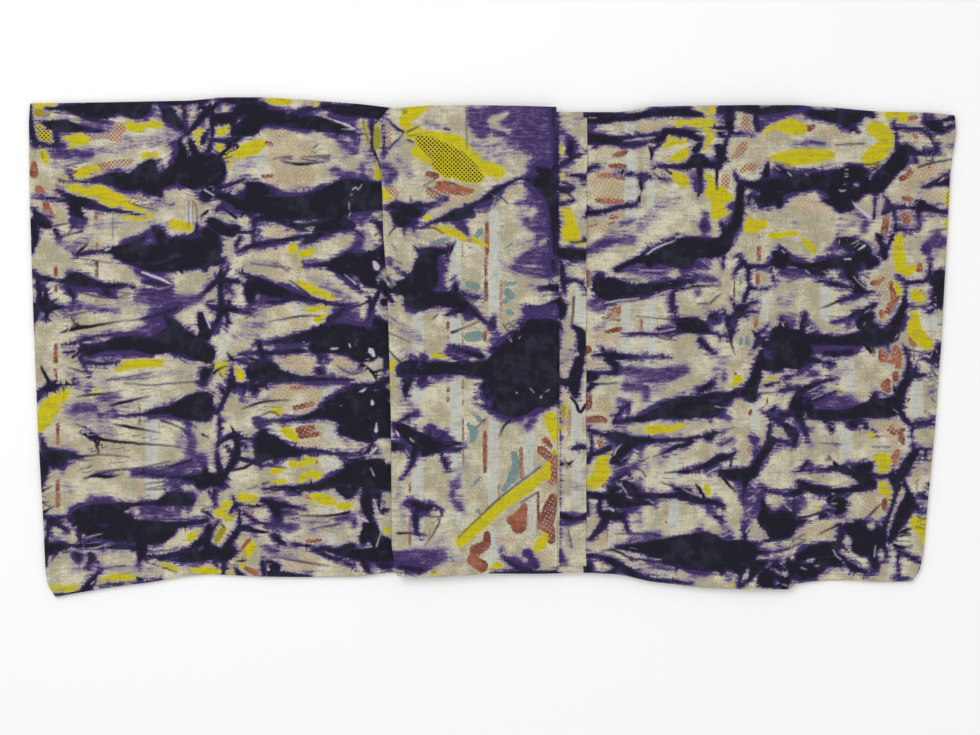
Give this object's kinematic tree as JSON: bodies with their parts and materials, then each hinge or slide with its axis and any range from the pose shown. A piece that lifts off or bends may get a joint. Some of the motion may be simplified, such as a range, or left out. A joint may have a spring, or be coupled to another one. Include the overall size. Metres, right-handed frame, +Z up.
{
  "type": "folded adire indigo cloth",
  "caption": "Length of printed cotton, tie-dyed in indigo and purple, doubled along its middle and folded flat with a short flap turned back on top.",
  "frame": {"origin": "middle of the underside, which lies flat on the surface", "axes": "+X along the folded strip to the right, +Y from the front fold to the selvedges at the back, +Z up"},
  "size_m": [1.1076, 0.596, 0.0195],
  "materials": {
    "dyed_cotton": "matt plain-weave cotton, resist-dyed in dark indigo and purple over a pale print"
  },
  "bodies": {
    "root": {"folded_cloth": "dyed_cotton"}
  },
  "joints": []
}
